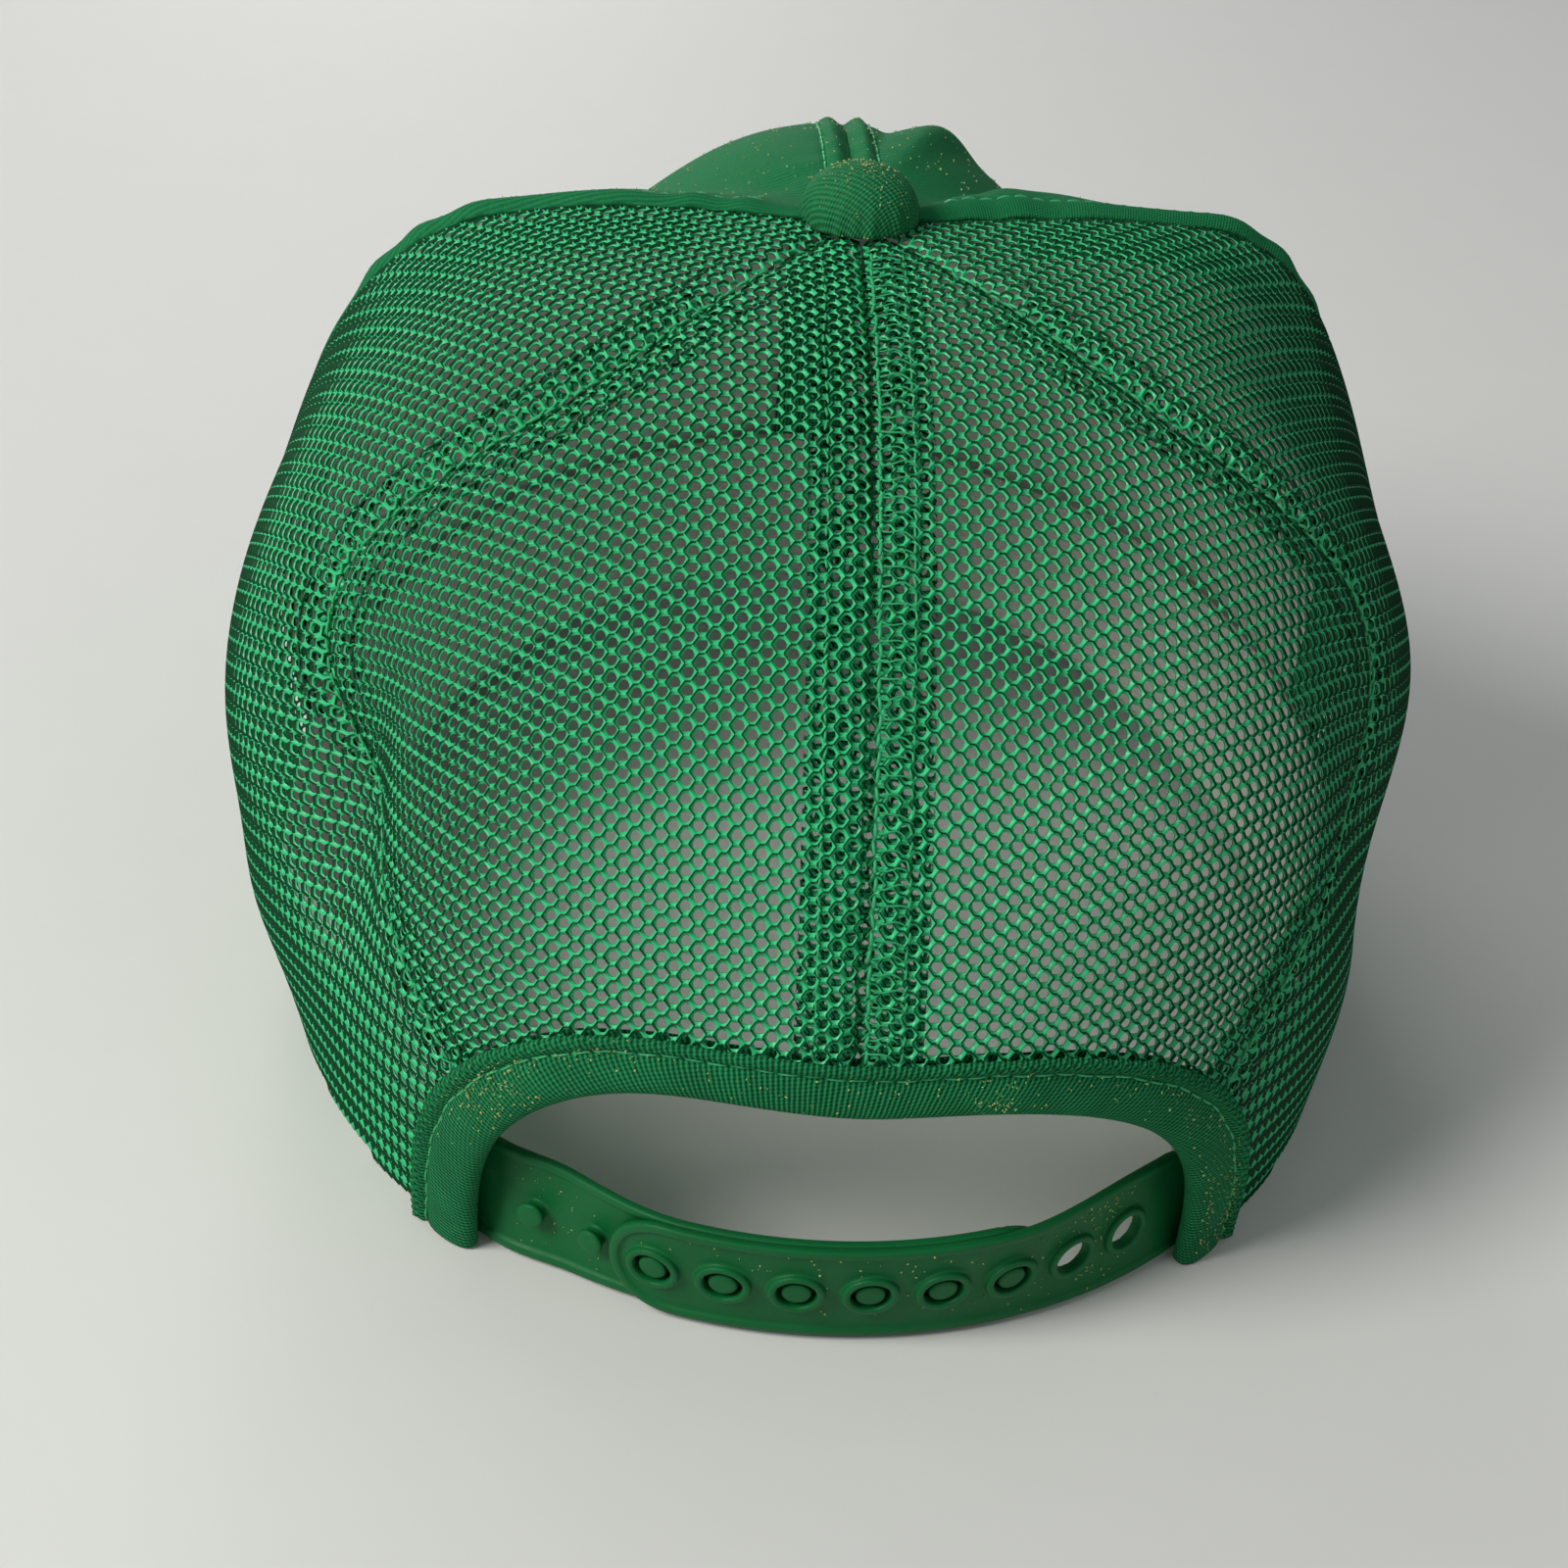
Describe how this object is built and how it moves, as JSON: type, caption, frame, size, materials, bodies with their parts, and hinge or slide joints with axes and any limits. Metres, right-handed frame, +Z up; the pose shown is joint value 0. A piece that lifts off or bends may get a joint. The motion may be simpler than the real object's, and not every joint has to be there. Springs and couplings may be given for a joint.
{
  "type": "trucker mesh cap",
  "caption": "Snap-strap cap with twill front, open knitted-mesh sides and back, stiffened curved visor, fabric-covered crown button and bound rear opening.",
  "frame": {"origin": "centre of the head opening, on the plane of the lower rim that the cap stands on", "axes": "+Z up through the crown button, -Y towards the visor, +Y towards the snap strap, +X towards the wearer's left"},
  "size_m": [0.1722, 0.2671, 0.1298],
  "materials": {
    "crown_twill": "matte woven cotton-polyester twill",
    "knitted_mesh": "open warp-knit polyester net, slightly glossy filament",
    "binding_tape": "ribbed woven tape, matte",
    "seam_tape": "plain woven tape, matte",
    "sweatband_cloth": "pale woven cotton band, matte",
    "foam_lining": "pale foam-backed lining, matte",
    "visor_lining": "matte woven twill",
    "visor_stiffener": "flexible sheet, hidden inside the visor",
    "button_metal": "plain stamped metal, hidden",
    "strap_plastic": "moulded polyethylene, satin"
  },
  "bodies": {
    "cap": {"front_panel_left": "crown_twill", "front_backing_left": "foam_lining", "side_mesh_left": "knitted_mesh", "rear_mesh_left": "knitted_mesh", "side_seam_tape_left": "seam_tape", "rear_side_seam_left": "knitted_mesh", "front_panel_right": "crown_twill", "front_backing_right": "foam_lining", "side_mesh_right": "knitted_mesh", "rear_mesh_right": "knitted_mesh", "side_seam_tape_right": "seam_tape", "rear_side_seam_right": "knitted_mesh", "rear_centre_seam": "knitted_mesh", "front_seam_tape": "seam_tape", "rear_arch_binding": "binding_tape", "sweatband": "sweatband_cloth", "button_cover": "crown_twill", "button_shell": "button_metal", "button_stem": "button_metal", "button_washer": "button_metal", "visor_top_cover": "crown_twill", "visor_board": "visor_stiffener", "visor_under_cover": "visor_lining", "strap_pin_tab": "strap_plastic", "strap_hole_tab": "strap_plastic"},
    "hole_strap": {"strap_with_holes": "strap_plastic"},
    "pin_strap": {"strap_with_pins": "strap_plastic"}
  },
  "joints": [
    {"name": "hole_strap_swing", "type": "hinge", "parent": "cap", "child": "hole_strap", "pos_m": [-0.04373, 0.07726, 0.0096], "axis": [0, 0, 1], "range_deg": [0, 75]},
    {"name": "pin_strap_swing", "type": "hinge", "parent": "cap", "child": "pin_strap", "pos_m": [0.0464, 0.0749, 0.0096], "axis": [0, 0, 1], "range_deg": [0, 35]}
  ]
}
